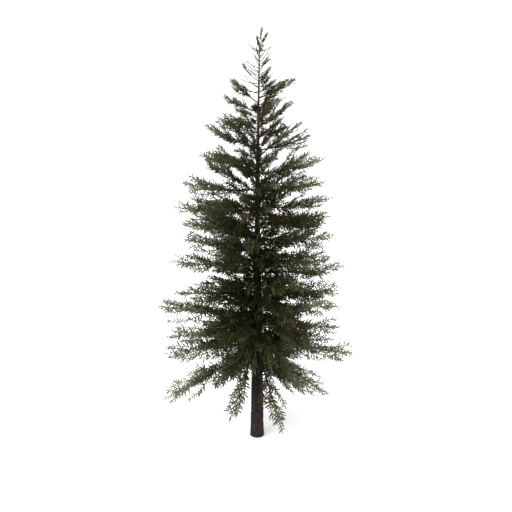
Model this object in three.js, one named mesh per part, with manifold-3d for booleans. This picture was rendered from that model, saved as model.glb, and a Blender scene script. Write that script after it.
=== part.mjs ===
// A young open-grown cedar: one straight trunk, bare low boughs, and plumes of flat needle sprays.
// Millimetres, +Z up. The origin is the middle of the flat cut at ground level.
// +X is to the right of the tree and -Y to the front.

import * as THREE from "three";
import { mergeVertices } from "three/addons/utils/BufferGeometryUtils.js";
import Module from "manifold-3d";

const wasm = await Module();
wasm.setup();

// Driving dimensions, in millimetres and degrees
const TREE_HEIGHT = 9000;
const GAP = 0.3; // between pieces that grow together on the living tree
const GROUND_CLEARANCE = 40; // under the lowest hanging spray

const TRUNK = {
  top: 8700,
  groundRadius: 146,
  topRadius: 6,
  taperPower: 1.2, // above 1, so that the top is slimmer than an even taper would make it
  flare: 12, // extra radius of the root flare at the ground
  flareHeight: 230,
  lean: 45, // how far the top stands to the right of the foot
  leanPower: 4, // the lean gathers near the top
  sides: 12,
  rings: 10,
  ringPower: 1.8, // rings crowd at the root flare
};

// The tiers of boughs, lowest first: height on the trunk, reach and rise of the left and right boughs.
// The front and back boughs are midway between the two in size, but some in front have a size of their own.
// A fourth number is how far the sprays of a bough spread, against the full length of its sprays.
const TIERS = [
  { left: [2230, 2190, -1440], right: [2190, 1850, -1510], front: [2230, 1660, -1300, 0.55] },
  { left: [2450, 2100, -90], right: [2520, 2470, -890], front: [2430, 1420, -1340, 0.55] },
  { left: [2790, 2090, -50], right: [2860, 1850, -100] },
  { left: [3000, 2240, 100], right: [3210, 1840, 150] },
  { left: [3510, 2000, -220], right: [3560, 2010, -250] },
  { left: [4100, 1890, 210], right: [3950, 1970, 90] },
  { left: [4580, 1710, 270], right: [4350, 1580, -10] },
  { left: [4950, 1910, -90], right: [4690, 1730, 230] },
  { left: [5340, 2100, -110], right: [5040, 1670, 60] },
  { left: [5770, 1700, 260], right: [5360, 1660, 180] },
  { left: [6280, 1280, 270], right: [5750, 1450, 210] },
  { left: [6630, 1170, 490], right: [6110, 1430, 350] },
  { left: [6940, 880, 340], right: [6590, 1250, 280] },
  { left: [7360, 780, 370], right: [7060, 820, 560] },
  { left: [7540, 640, 540], right: [7640, 820, 440], front: [7400, 560, 150] },
];
const LIMB_TIERS = 2; // the lowest tiers, whose boughs are bare limbs near the trunk
const LIMB_SHARE = 0.26; // of a bough's length that is bare limb
const FULL_TIERS = 3; // tiers with a bough in front and one behind; the ones above have them in turn

const TURN_LEAST = 4; // how far a bough turns away from the middle of its side of the tree
const TURN_MOST = 28; // on the left and right
const TURN_DEPTH = 46; // in front and behind
const TURN_SEED = 177;
const FRONT_LIFT = 130; // how far a front bough starts above the middle of its tier, and a back one below
const SAG_LOW = 0.02; // of the reach, under the straight line from root to tip, on the lowest boughs
const SAG_HIGH = 0.05; // on the highest

const STEM_RADIUS = 10; // of a plume's stem at the trunk, plus a share of its reach
const STEM_RADIUS_SHARE = 0.0075;
const STEM_END = 0.84; // share of the path at which the stem ends and its last spray goes on
const STEM_END_RADIUS = 9;
const STEM_SIDES = 3;
const LIMB_RADIUS = 34;
const LIMB_SIDES = 7;
const LIMB_STEPS = 3;

const SPRAY_FIRST = 0.12; // where along a bough the pairs of sprays begin, and where they end
const SPRAY_LAST = 0.8;
const SPRAY_BEYOND_LIMB = 0.05; // least share of a bough from the end of its bare limb to the first pair
const PAIR_SPACING = 410; // along the stem, from one pair of sprays to the next
const PAIR_JITTER = 0.2; // of that spacing
const PAIR_STAGGER = 0.02; // of the length of a bough, from the middle of a pair to each of its two sprays
const SPRAY_LENGTH = 440; // of a side spray, plus a share of its plume's reach
const SPRAY_LENGTH_SHARE = 0.32;
const SPRAY_LENGTH_SWAY = 0.15;
const SPRAY_NARROWING = 0.78; // share of that length lost towards the tip
const END_SPRAY_ROOT = 36; // how far inside the stem its last spray begins
const SPRAY_ANGLE_ROOT = 58; // from the stem to a side spray: near the trunk, at the tip, and how much it sways
const SPRAY_ANGLE_TIP = 38;
const SPRAY_ANGLE_SWAY = 9;
const SPRAY_DROOP = 8; // below the plane of its plume, and how much it sways
const SPRAY_DROOP_SWAY = 54;
const SPRAY_ROLL = 72; // the most that a spray turns about its own length
const SPRAY_WIDTH_SHARE = 0.58;
const TOOTH_LENGTH = 250; // along the spray for each pair of teeth
const TEETH_LEAST = 2;
const TEETH_MOST = 3;
const TIP_SHARE = 0.4; // of a tooth's length, from the last pair to the spray's point
const ENVELOPE_START = 0.25; // of half a wave, the part of it that the spray's outline leaves out at the root
const NOTCH_SHARE = 0.4; // of the spray's half width that is left between teeth
const TOOTH_LEAN = 0.85; // of the way from one notch to the next at which a tooth's point stands
const STALK_SHARE = 0.1; // of a spray's length
const STALK_HALF_WIDTH = 12;
const RIDGE_HEIGHT = 15;
const CLEARANCE = 6; // between a spray and any other plume
const SPRAY_TRIES = 8; // how often a spray is set anew that would touch something, before it is left out

// The shoots at the top of the tree: where each leaves the trunk, how steeply it climbs and how long it is
const TOP_SHOOTS = [
  { name: "top_shoot_left", height: 7990, azimuth: 170, climb: 48, length: 330 },
  { name: "top_shoot_right", height: 8150, azimuth: 12, climb: 46, length: 380 },
];
const LEADER_AIM = new THREE.Vector3(0.16, 0.02, 1).normalize();
const SHOOT_STEM = 0.6; // shares of a shoot's length: its stem, where its sprays begin, and their length
const SHOOT_END_SPRAY = 0.45;
const SHOOT_LEFT_SPRAY = 0.3;
const SHOOT_RIGHT_SPRAY = 0.42;
const SHOOT_SPRAY_LENGTH = 0.55;
const SHOOT_SIDE_LENGTH = 0.9; // of a side spray against the end one
const SHOOT_SPREAD = 34;

const UP = new THREE.Vector3(0, 0, 1);
const FRONT = new THREE.Vector3(0, -1, 0);
const BARK = new THREE.MeshStandardMaterial({ color: 0x4a3f3a, roughness: 0.95, metalness: 0 });
const TWIG_BARK = new THREE.MeshStandardMaterial({ color: 0x53463c, roughness: 0.9, metalness: 0 });
const NEEDLES = new THREE.MeshStandardMaterial({ color: 0x3a3d26, roughness: 0.7, metalness: 0 });

const tree = new THREE.Group();
tree.name = "cedar_tree";

// A repeatable number from 0 to 1 for a list of whole-number labels
function chance(...labels) {
  let key = 7;
  for (const label of labels) key = key * 31 + label;
  const wave = Math.sin(key * 12.9898) * 43758.5453;
  return wave - Math.floor(wave);
}

// A repeatable number from -1 to 1
function sway(...labels) {
  return 2 * chance(...labels) - 1;
}

function radians(degrees) {
  return THREE.MathUtils.degToRad(degrees);
}

// Solids

function toSolid(geometry) {
  const bare = geometry.clone();
  bare.deleteAttribute("normal");
  bare.deleteAttribute("uv");
  const merged = mergeVertices(bare, 1e-4);
  return new wasm.Manifold(
    new wasm.Mesh({
      numProp: 3,
      vertProperties: new Float32Array(merged.attributes.position.array),
      triVerts: new Uint32Array(merged.index.array),
    }),
  );
}

function toGeometry(solid) {
  const mesh = solid.getMesh();
  const geometry = new THREE.BufferGeometry();
  geometry.setAttribute("position", new THREE.BufferAttribute(new Float32Array(mesh.vertProperties), 3));
  geometry.setIndex(new THREE.BufferAttribute(new Uint32Array(mesh.triVerts), 1));
  return geometry;
}

// The largest body of a solid, without loose scraps
function largestBody(solid) {
  return solid.decompose().reduce((best, body) => (body.volume() > best.volume() ? body : best));
}

function addPiece(name, geometry, material) {
  const mesh = new THREE.Mesh(geometry, material);
  mesh.name = name;
  tree.add(mesh);
}

// Trunk

function trunkRadius(z) {
  const left = (1 - z / TRUNK.top) ** TRUNK.taperPower;
  const taper = THREE.MathUtils.lerp(TRUNK.topRadius, TRUNK.groundRadius, left);
  return taper + TRUNK.flare * Math.exp(-z / TRUNK.flareHeight);
}

// The trunk's middle at a height: upright, with its top leaning a little
function trunkMiddle(z) {
  return new THREE.Vector3(TRUNK.lean * (z / TRUNK.top) ** TRUNK.leanPower, 0, z);
}

// The trunk with its surface moved out by a gap
function trunkGeometry(gap) {
  const profile = [new THREE.Vector2(0, 0)];
  for (let i = 0; i <= TRUNK.rings; i += 1) {
    const z = TRUNK.top * (i / TRUNK.rings) ** TRUNK.ringPower;
    profile.push(new THREE.Vector2(trunkRadius(z) + gap, z));
  }
  profile.push(new THREE.Vector2(0, TRUNK.top));
  const geometry = new THREE.LatheGeometry(profile, TRUNK.sides);
  geometry.rotateX(Math.PI / 2);
  const places = geometry.attributes.position;
  for (let i = 0; i < places.count; i += 1) {
    places.setX(i, places.getX(i) + trunkMiddle(places.getZ(i)).x);
  }
  return geometry;
}

// Boughs

// The directions along, across and out of a bough's flat plume at a share of its path
function plumeFrame(path, share) {
  const along = path.getTangent(share);
  const across = new THREE.Vector3().crossVectors(along, UP).normalize();
  const above = new THREE.Vector3().crossVectors(across, along).normalize();
  return { along, across, above };
}

// A tapering limb: a cylinder whose rings are laid along a path at the given shares of it
function limbGeometry(path, shares, rootRadius, tipRadius, sides) {
  const steps = shares.length - 1;
  const geometry = new THREE.CylinderGeometry(1, 1, steps, sides, steps);
  const places = geometry.attributes.position;
  for (let i = 0; i < places.count; i += 1) {
    const share = shares[Math.round(places.getY(i) + steps / 2)];
    const { across, above } = plumeFrame(path, share);
    const radius = radiusAt(share, shares[0], shares[steps], rootRadius, tipRadius);
    const place = path.getPoint(share);
    place.addScaledVector(across, radius * places.getX(i));
    place.addScaledVector(above, radius * places.getZ(i));
    places.setXYZ(i, place.x, place.y, place.z);
  }
  return geometry;
}

// The radius of a limb at a share of its path, when it tapers evenly from one share to another
function radiusAt(share, from, to, rootRadius, tipRadius) {
  return THREE.MathUtils.mapLinear(share, from, to, rootRadius, tipRadius);
}

// Evenly spaced shares of a path
function evenShares(from, to, steps) {
  return Array.from({ length: steps + 1 }, (_, i) => from + ((to - from) * i) / steps);
}

// A bough's path from the trunk's middle to its furthest tip, sagging under its own weight
function boughPath(height, azimuth, reach, rise) {
  const root = trunkMiddle(height);
  const outward = new THREE.Vector3(Math.cos(radians(azimuth)), Math.sin(radians(azimuth)), 0);
  const tip = root.clone().addScaledVector(outward, reach).addScaledVector(UP, rise);
  const [lowest, highest] = [TIERS[0].left[0], TIERS.at(-1).left[0]];
  const sag = THREE.MathUtils.mapLinear(height, lowest, highest, SAG_LOW, SAG_HIGH);
  const middle = root.clone().lerp(tip, 0.5).addScaledVector(UP, -2 * sag * reach);
  return new THREE.QuadraticBezierCurve3(root, middle, tip);
}

// The sides of the tree: where each bough starts round the trunk, and its size from the sizes of its tier
const SIDES = [
  { side: "left", azimuth: 180, most: TURN_MOST, size: (tier) => tier.left },
  { side: "right", azimuth: 0, most: TURN_MOST, size: (tier) => tier.right },
  { side: "front", azimuth: 270, most: TURN_DEPTH, size: (tier) => tier.front ?? between(tier, FRONT_LIFT) },
  { side: "back", azimuth: 90, most: TURN_DEPTH, size: (tier) => between(tier, -FRONT_LIFT) },
];

// The height, reach and rise between those of the left and right boughs of a tier, lifted on the trunk
function between(tier, lift) {
  const [height, reach, rise] = tier.left.map((size, i) => (size + tier.right[i]) / 2);
  return [height + lift, reach, rise];
}

// Whether a tier has a bough on a side
function grows(side, level) {
  if (level <= FULL_TIERS) return true;
  return side !== (level % 2 ? "back" : "front");
}

// Every bough of the crown: its name, path and size
function layOutBoughs() {
  const boughs = [];
  TIERS.forEach((tier, index) => {
    const level = index + 1;
    SIDES.forEach(({ side, azimuth, most, size }, number) => {
      if (!grows(side, level)) return;
      const [height, reach, rise, spread = 1] = size(tier);
      const turn = THREE.MathUtils.lerp(TURN_LEAST, most, chance(level, TURN_SEED + number));
      const way = Math.floor((level + number) / 2) % 2 ? 1 : -1;
      const path = boughPath(height, azimuth + way * turn, reach, rise);
      const limb = level <= LIMB_TIERS;
      const bough = {
        name: `${level}_${side}`,
        label: boughs.length + 1,
        reach,
        spread,
        path,
        limb,
        from: limb ? LIMB_SHARE + GAP / path.getLength() : 0,
        stemRadius: STEM_RADIUS + STEM_RADIUS_SHARE * reach,
      };
      bough.shares = pairShares(bough);
      bough.rings = ringShares(bough);
      boughs.push(bough);
    });
  });
  return boughs;
}

// Sprays

// A flat spray of needles along +X: a pointed three-sided stalk, then a blade with toothed edges and a ridge
function sprayGeometry(length, width, teeth) {
  const start = STALK_SHARE * length;
  const step = (length - start) / (teeth + TIP_SHARE);
  const wave = (x) => THREE.MathUtils.mapLinear(x, start, length, ENVELOPE_START, 1);
  const envelope = (x) => (width / 2) * Math.sin(Math.PI * wave(x));
  const places = [];
  const add = (x, y, z) => places.push(x, y, z) / 3 - 1;
  const pair = (x, half) => ({ left: add(x, half, 0), right: add(x, -half, 0) });
  const root = add(0, 0, RIDGE_HEIGHT / 2);
  const tip = add(length, 0, 0);
  let here = { ...pair(start, STALK_HALF_WIDTH), top: add(start, 0, RIDGE_HEIGHT) };
  const faces = [[root, here.top, here.left], [root, here.right, here.top], [root, here.left, here.right]];
  for (let i = 1; i <= teeth; i += 1) {
    const notch = start + i * step;
    const reach = notch - (1 - TOOTH_LEAN) * step;
    const point = pair(reach, envelope(reach));
    const inner = i < teeth ? pair(notch, NOTCH_SHARE * envelope(notch)) : { left: tip, right: tip };
    const next = { ...inner, top: i < teeth ? add(notch, 0, RIDGE_HEIGHT * (1 - notch / length)) : tip };
    faces.push([here.left, here.top, point.left], [here.top, next.top, point.left]);
    faces.push([point.left, next.top, next.left], [here.top, here.right, point.right]);
    faces.push([next.top, here.top, point.right], [next.top, point.right, next.right]);
    faces.push([here.left, point.left, next.left], [here.right, next.right, point.right]);
    faces.push([here.left, next.left, here.right], [here.right, next.left, next.right]);
    here = next;
  }
  const geometry = new THREE.BufferGeometry();
  geometry.setAttribute("position", new THREE.Float32BufferAttribute(places, 3));
  geometry.setIndex(faces.filter((face) => new Set(face).size === 3).flat());
  return geometry;
}

// A spray set at a place, pointing along a direction, its ridge as near to above as it can be;
// a margin widens it on every side
function setSpray(place, direction, above, length, margin = 0) {
  const across = new THREE.Vector3().crossVectors(above, direction).normalize();
  const ridge = new THREE.Vector3().crossVectors(direction, across).normalize();
  const teeth = THREE.MathUtils.clamp(Math.round(length / TOOTH_LENGTH), TEETH_LEAST, TEETH_MOST);
  const geometry = sprayGeometry(length + margin, SPRAY_WIDTH_SHARE * length + margin, teeth);
  geometry.scale(1, 1, 1 + (2 * margin) / RIDGE_HEIGHT);
  const foot = place.clone().addScaledVector(ridge, -RIDGE_HEIGHT / 2 - margin);
  geometry.applyMatrix4(new THREE.Matrix4().makeBasis(direction, across, ridge).setPosition(foot));
  return geometry;
}

// Where the pairs of side sprays stand along a bough
function pairShares(bough) {
  const { path, label, from } = bough;
  const first = Math.max(SPRAY_FIRST, from + SPRAY_BEYOND_LIMB);
  const gaps = Math.max(2, Math.round(((SPRAY_LAST - first) * path.getLength()) / PAIR_SPACING));
  const jitter = (PAIR_JITTER * (SPRAY_LAST - first)) / gaps;
  return evenShares(first, SPRAY_LAST, gaps).map((share, pair) =>
    THREE.MathUtils.clamp(share + jitter * sway(label, pair, 3), first, SPRAY_LAST),
  );
}

// Where the rings of a bough's stem stand: its two ends, and midway from each pair of sprays to the next
function ringShares(bough) {
  const middles = bough.shares.slice(1).map((share, i) => (share + bough.shares[i]) / 2);
  return [bough.from, ...middles, STEM_END];
}

// The middle of a bough's stem at a share of its path, on the straight run between two rings
function stemMiddle(bough, share) {
  const next = bough.rings.findIndex((ring) => ring > share);
  const [before, after] = [bough.rings[next - 1], bough.rings[next]];
  const start = bough.path.getPoint(before);
  return start.lerp(bough.path.getPoint(after), (share - before) / (after - before));
}

// One side spray by a seeded rule: its angle, droop, roll and length, which lessens towards the bough's tip;
// each attempt at it draws anew
function sideSpray(bough, pair, side, attempt, margin = 0) {
  const share = bough.shares[pair] + side * PAIR_STAGGER;
  const { along, across, above } = plumeFrame(bough.path, share);
  const labels = [bough.label, pair, side + 1, attempt];
  const wide = THREE.MathUtils.lerp(SPRAY_ANGLE_ROOT, SPRAY_ANGLE_TIP, share);
  const angle = radians(wide + SPRAY_ANGLE_SWAY * sway(...labels, 4));
  const droop = radians(SPRAY_DROOP + SPRAY_DROOP_SWAY * sway(...labels, 5));
  const roll = radians(SPRAY_ROLL * sway(...labels, 6));
  const flat = along.multiplyScalar(Math.cos(angle)).addScaledVector(across, side * Math.sin(angle));
  const direction = flat.multiplyScalar(Math.cos(droop)).addScaledVector(above, -Math.sin(droop)).normalize();
  const full = (SPRAY_LENGTH + SPRAY_LENGTH_SHARE * bough.reach) * (1 - SPRAY_NARROWING * share);
  const length = bough.spread * full * (1 + SPRAY_LENGTH_SWAY * sway(...labels, 7));
  return setSpray(stemMiddle(bough, share), direction, above.applyAxisAngle(direction, roll), length, margin);
}

// The spray that goes on from the end of a stem to the bough's furthest tip
function endSpray(bough) {
  const { along, above } = plumeFrame(bough.path, STEM_END);
  const place = bough.path.getPoint(STEM_END).addScaledVector(along, -END_SPRAY_ROOT);
  const toTip = bough.path.getPoint(1).sub(place);
  return setSpray(place, toTip.clone().normalize(), above, toTip.length());
}

// Plumes

// Pieces that already stand, each with the plume that owns it
const standing = [];

function claim(owner, geometry) {
  geometry.computeBoundingBox();
  standing.push({ owner, box: geometry.boundingBox, solid: toSolid(geometry) });
}

// Whether a spray is clear of the ground, the trunk and everything that another plume owns
function isClear(owner, geometry) {
  geometry.computeBoundingBox();
  const box = geometry.boundingBox;
  if (box.min.z < GROUND_CLEARANCE) return false;
  const near = standing.filter((piece) => piece.owner !== owner && piece.box.intersectsBox(box));
  if (near.length === 0) return true;
  const solid = toSolid(geometry);
  return near.every((piece) => solid.intersect(piece.solid).isEmpty());
}

// The first attempt at a side spray that is clear of everything, with its margin and without, if any is
function clearSpray(bough, pair, side) {
  for (let attempt = 0; attempt < SPRAY_TRIES; attempt += 1) {
    const [wide, spray] = [CLEARANCE, 0].map((margin) => sideSpray(bough, pair, side, attempt, margin));
    if (isClear(bough, wide) && isClear(bough, spray)) return spray;
  }
  return null;
}

// The side sprays of every plume, a pair of each in turn, without those that would still touch a neighbour
function growSprays(boughs) {
  const most = Math.max(...boughs.map((bough) => bough.shares.length));
  for (let pair = 0; pair < most; pair += 1) {
    for (const bough of boughs.filter(({ shares }) => pair < shares.length)) {
      for (const side of [-1, 1]) {
        const spray = clearSpray(bough, pair, side);
        if (!spray) continue;
        claim(bough, spray);
        bough.sprays.push(spray);
      }
    }
  }
}

// A plume as one solid: its stem and sprays fused, cut clear of the trunk
function plumeSolid(bough, trunkSpace) {
  const parts = [bough.stem, ...bough.sprays].map(toSolid);
  const fused = parts.reduce((sum, part) => sum.add(part));
  return largestBody(bough.limb ? fused : fused.subtract(trunkSpace));
}

// Leader and the small shoots under it

// A short shoot with a spray at its end and one on each side, all with their flat sides to the front
function shootSolid(root, direction, length, rootRadius) {
  const path = new THREE.LineCurve3(root, root.clone().addScaledVector(direction, length));
  const across = new THREE.Vector3().crossVectors(direction, FRONT).normalize();
  const above = new THREE.Vector3().crossVectors(across, direction).normalize();
  const stem = limbGeometry(path, [0, SHOOT_STEM], rootRadius, STEM_END_RADIUS, STEM_SIDES);
  const sprayLength = SHOOT_SPRAY_LENGTH * length;
  const spread = radians(SHOOT_SPREAD);
  const sideAim = (side) => {
    const aim = direction.clone().multiplyScalar(Math.cos(spread));
    return aim.addScaledVector(across, side * Math.sin(spread));
  };
  const sideLength = SHOOT_SIDE_LENGTH * sprayLength;
  const parts = [
    stem,
    setSpray(path.getPoint(SHOOT_END_SPRAY), direction, above, sprayLength),
    setSpray(path.getPoint(SHOOT_LEFT_SPRAY), sideAim(-1), above, sideLength),
    setSpray(path.getPoint(SHOOT_RIGHT_SPRAY), sideAim(1), above, sideLength),
  ];
  return parts.map(toSolid).reduce((sum, part) => sum.add(part));
}

// A direction from its azimuth and its climb above the level
function climbing(azimuth, climb) {
  const [turn, rise] = [radians(azimuth), radians(climb)];
  return new THREE.Vector3(Math.cos(turn) * Math.cos(rise), Math.sin(turn) * Math.cos(rise), Math.sin(rise));
}

function addTop(trunkSpace) {
  const leaderRoot = trunkMiddle(TRUNK.top).addScaledVector(UP, GAP);
  const leaderLength = (TREE_HEIGHT - leaderRoot.z) / LEADER_AIM.z;
  addPiece("leader", toGeometry(leaderSolid(leaderRoot, LEADER_AIM, leaderLength)), NEEDLES);
  for (const { name, height, azimuth, climb, length } of TOP_SHOOTS) {
    const shoot = shootSolid(trunkMiddle(height), climbing(azimuth, climb), length, STEM_RADIUS);
    const geometry = toGeometry(largestBody(shoot.subtract(trunkSpace)));
    claim(name, geometry);
    addPiece(name, geometry, NEEDLES);
  }
}

// The leader grows on from the flat top of the trunk, so everything below that plane is cut away
function leaderSolid(root, aim, length) {
  const below = new THREE.BoxGeometry(length, length, length);
  below.translate(root.x, root.y, root.z - length / 2);
  const start = root.clone().addScaledVector(aim, -2 * TRUNK.topRadius);
  const shoot = shootSolid(start, aim, length + 2 * TRUNK.topRadius, TRUNK.topRadius);
  return largestBody(shoot.subtract(toSolid(below)));
}

// Assembly

addPiece("trunk", toGeometry(toSolid(trunkGeometry(0))), BARK);
const trunkSpace = toSolid(trunkGeometry(GAP));
claim("trunk", trunkGeometry(CLEARANCE));
addTop(trunkSpace);

const boughs = layOutBoughs();
for (const bough of boughs) {
  const { path, stemRadius, rings } = bough;
  bough.stem = limbGeometry(path, rings, stemRadius, STEM_END_RADIUS, STEM_SIDES);
  bough.sprays = [endSpray(bough)];
  claim(bough, bough.stem);
  claim(bough, bough.sprays[0]);
  if (!bough.limb) continue;
  const limbRings = evenShares(0, LIMB_SHARE, LIMB_STEPS);
  const limb = limbGeometry(path, limbRings, LIMB_RADIUS, stemRadius, LIMB_SIDES);
  claim("limb", limb);
  addPiece(`bough_${bough.name}`, toGeometry(largestBody(toSolid(limb).subtract(trunkSpace))), TWIG_BARK);
}
growSprays(boughs);
for (const bough of boughs) {
  addPiece(`foliage_${bough.name}`, toGeometry(plumeSolid(bough, trunkSpace)), NEEDLES);
}

export default tree;
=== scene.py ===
import math

import bpy
import numpy as np
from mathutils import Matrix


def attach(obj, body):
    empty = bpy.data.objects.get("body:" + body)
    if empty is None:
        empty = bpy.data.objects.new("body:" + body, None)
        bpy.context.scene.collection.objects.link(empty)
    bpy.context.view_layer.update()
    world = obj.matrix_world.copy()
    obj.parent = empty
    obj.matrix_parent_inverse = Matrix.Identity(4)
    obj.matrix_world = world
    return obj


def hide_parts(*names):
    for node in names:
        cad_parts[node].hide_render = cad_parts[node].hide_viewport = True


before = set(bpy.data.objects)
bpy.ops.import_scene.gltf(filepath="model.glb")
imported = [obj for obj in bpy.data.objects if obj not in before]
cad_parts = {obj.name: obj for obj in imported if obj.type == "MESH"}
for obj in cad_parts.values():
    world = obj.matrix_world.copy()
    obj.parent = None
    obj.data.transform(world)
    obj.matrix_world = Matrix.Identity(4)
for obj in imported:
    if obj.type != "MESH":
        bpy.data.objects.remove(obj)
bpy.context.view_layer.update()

# A young open-grown cedar. Metres and degrees, +Z up, the origin on the flat cut at ground level, -Y to the
# front. The source's rule lays out its boughs, and is carried on here to fine twigs and sprigs of needles.

# Trunk
TREE_HEIGHT = 9.0
TRUNK_TOP = 8.7
GROUND_RADIUS = 0.146
TOP_RADIUS = 0.006
TAPER_POWER = 1.2
FLARE = 0.012
FLARE_HEIGHT = 0.23
LEAN = 0.045
LEAN_POWER = 4

# Bark on the trunk: furrows that drift sideways, small scales, and a layer with its share of the thickness
# at some heights; each noise has so many cells round the trunk, so many up it, and a seed
TRUNK_SIDES = 96
TRUNK_RINGS = 420
RING_CROWDING = 1.25
DRIFT = 0.35
DRIFT_NOISE = (5, 40, 1)
FURROW_DEPTH = 0.09
FURROW_NOISE = (16, 70, 2)
SCALE_DEPTH = 0.035
SCALE_NOISE = (30, 420, 3)
RIDGE_SHARE = 1.035
BARK_THICKNESS = 0.009
BARK_HEIGHTS = (0, 1.2, 3, 6, 7.5, TRUNK_TOP)
BARK_SHARES = (0, 1, 1, 0, 0.4, 0.5)

# Tiers of boughs, lowest first: height on the trunk, reach and rise of the left bough and of the right one,
# and of a front one that differs, with how far its branches spread
TIERS = [
    {"left": (2.23, 2.19, -1.44), "right": (2.19, 1.85, -1.51), "front": (2.23, 1.66, -1.30, 0.4)},
    {"left": (2.45, 2.10, -0.09), "right": (2.52, 2.47, -0.89), "front": (2.43, 1.42, -1.34, 0.4)},
    {"left": (2.79, 2.09, -0.05), "right": (2.86, 1.85, -0.10)},
    {"left": (3.00, 2.24, 0.10), "right": (3.21, 1.84, 0.15)},
    {"left": (3.51, 2.00, -0.22), "right": (3.56, 2.01, -0.25)},
    {"left": (4.10, 1.89, 0.21), "right": (3.95, 1.97, 0.09)},
    {"left": (4.58, 1.71, 0.27), "right": (4.35, 1.58, -0.01)},
    {"left": (4.95, 1.91, -0.09), "right": (4.69, 1.73, 0.23)},
    {"left": (5.34, 2.10, -0.11), "right": (5.04, 1.67, 0.06)},
    {"left": (5.77, 1.70, 0.26), "right": (5.36, 1.66, 0.18)},
    {"left": (6.28, 1.28, 0.27), "right": (5.75, 1.45, 0.21)},
    {"left": (6.63, 1.17, 0.49), "right": (6.11, 1.43, 0.35)},
    {"left": (6.94, 0.88, 0.34), "right": (6.59, 1.25, 0.28)},
    {"left": (7.36, 0.78, 0.37), "right": (7.06, 0.82, 0.56)},
    {"left": (7.54, 0.64, 0.54), "right": (7.64, 0.82, 0.44), "front": (7.40, 0.56, 0.15)},
]
HIGHEST_TIER = len(TIERS)
LIMB_TIERS = 2
LIMB_RADIUS = 0.034
FULL_TIERS = 3
FRONT_LIFT = 0.13
SAG_LOW = 0.02
SAG_HIGH = 0.05
STEM_RADIUS = 0.01
STEM_RADIUS_SHARE = 0.0075
STEM_END_RADIUS = 0.004
TIP_ROOM = 0.075
BOUGH_ROUGHNESS = 0.1
BOUGH_WOOD_TO = 0.66

# The sides of a tier: their azimuth and the most that a bough there is turned from it, and the least for all
FRONT_AZIMUTH = 270
SIDES = [("left", 180, 28), ("right", 0, 28), ("front", FRONT_AZIMUTH, 46), ("back", 90, 46)]
TURN_LEAST = 4
TURN_SEED = 177

# Lesser boughs that fill the heart of the crown between the tiers; low down and high up they leave the
# front of the trunk bare
SHOOT_COUNT = 132
SHOOT_LOWEST = 1.95
SHOOT_HIGHEST = 7.45
SHOOT_CROWDING = 1.15
SHOOT_SPREAD = 0.9
SHOOT_SPREAD_HIGH = 0.45
SHOOT_REACH_LEAST = 0.22
SHOOT_REACH_MOST = 0.66
SHOOT_REACH_MIDDLE = 0.16
SHOOT_REACH_POWER = 1.2
SHOOT_RISE_LOW = -0.7
SHOOT_RISE_HIGH = 0.75
SHOOT_RISE_SWAY = 0.3
SHOOT_SAG = 0.1
# How light the lesser boughs' needles are painted: at the root from painted shade low down to lighter high
# up, and at the tip darkest a quarter of the way up, painted shade in the heart of the crown
SHOOT_DARK = 0.32
SHOOT_LIGHT = (0.8, 0.4, 0.85)
SHOOT_LIGHT_AT = (0.0, 0.25, 1.0)
BARE_FRONT = (2.4, 5.6)
BARE_FRONT_TURN = 40
GOLDEN_TURN = 137.5

# Values that change with height are in threes: for the lowest tier, the middle one and the highest one

# What twigs share: their radius where they leave their parent, how much they bend up, how far the two of a
# pair are set apart along it, and how many branches or fronds a bough has at least
CHILD_RADIUS = 0.0025
CHILD_RADIUS_SHARE = 0.008
CHILD_RADIUS_MOST = 0.75
LIFT = (0.02, 0.12, 0.14)
PAIR_STAGGER = 0.25
FEWEST_BRANCHES = 4

# Branches along each bough: they crowd near the trunk, and sweep forward along their bough
BRANCH_FIRST = (0.07, 0.08, 0.22)
BRANCH_LAST = (0.54, 0.62, 0.62)
BRANCH_SPACING = (0.15, 0.1, 0.13)
BRANCH_STEP_SWAY = 0.2
BRANCH_CROWDING = 1.1
BRANCH_LENGTH = 0.18
BRANCH_LENGTH_SHARE = 0.33
BRANCH_LENGTH_SWAY = 0.22
BRANCH_FULLNESS = (1.0, 0.85, 0.5)
ROOT_FULLNESS = (1.0, 0.75, 0.3)
FULLEST = 0.4
BRANCH_NARROWING = 0.66
BRANCH_TIP_ROOM = 0.03
BRANCH_POINTING = 0.74
BRANCH_ANGLE_ROOT = 58
BRANCH_ANGLE_TIP = 38
BRANCH_ANGLE_SWAY = 14
BRANCH_TURN = 46
BRANCH_ROLL = 90
BRANCH_SWEEP = 0.42
BRANCH_END_RADIUS = 0.003

# Long slender fronds all round the outer part of each bough, which end nearly in line with it
FROND_FIRST = 0.34
FROND_LAST = 0.88
FROND_SPACING = (0.165, 0.099, 0.095)
FROND_STEP_SWAY = 0.3
FROND_LENGTH = 0.2
FROND_LENGTH_SHARE = 0.27
FROND_LENGTH_SWAY = 0.2
FROND_FULLNESS = (1.3, 1.25, 0.8)
FROND_POINTING = (0.74, 0.7, 0.6)
FROND_SPREAD_EXTRA = 0.4
FROND_VARIETY = 0.2
FROND_ANGLE = (34, 40, 36)
FROND_OPENING = 30
FROND_TURN_BY_BOUGH = 90
FROND_TURN_SWAY = 25
FROND_SWEEP = 0.46
FROND_WOOD_END_RADIUS = 0.0018
UPRIGHT_SWAY = 32

# Green shoots: the fronds and the outer part of each bough, clad in needles
GREEN_FROM = 0.55
GREEN_RADIUS = 0.014
GREEN_END_RADIUS = 0.009

# Twigs along the inner part of each branch, mostly inside the crown
TWIG_FIRST = 0.08
TWIG_LAST = 0.5
TWIG_SPACING = 0.075
TWIG_STEP_SWAY = 0.25
TWIG_OUTERMOST = 0.85
TWIG_THINNING = 0.6
TWIG_LENGTH_SHARE = 0.46
TWIG_LENGTH_AT_ROOT = 1.05
TWIG_SHORTENING = 0.6
TWIG_LENGTH_LEAST = 0.1
TWIG_LENGTH_MOST = 0.34
TWIG_LENGTH_SWAY = 0.25
TWIG_ANGLE = 42
TWIG_ANGLE_SWAY = 9
TWIG_TURN = 45
TWIG_SWEEP = 0.35
TWIG_END_RADIUS = 0.0015

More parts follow.
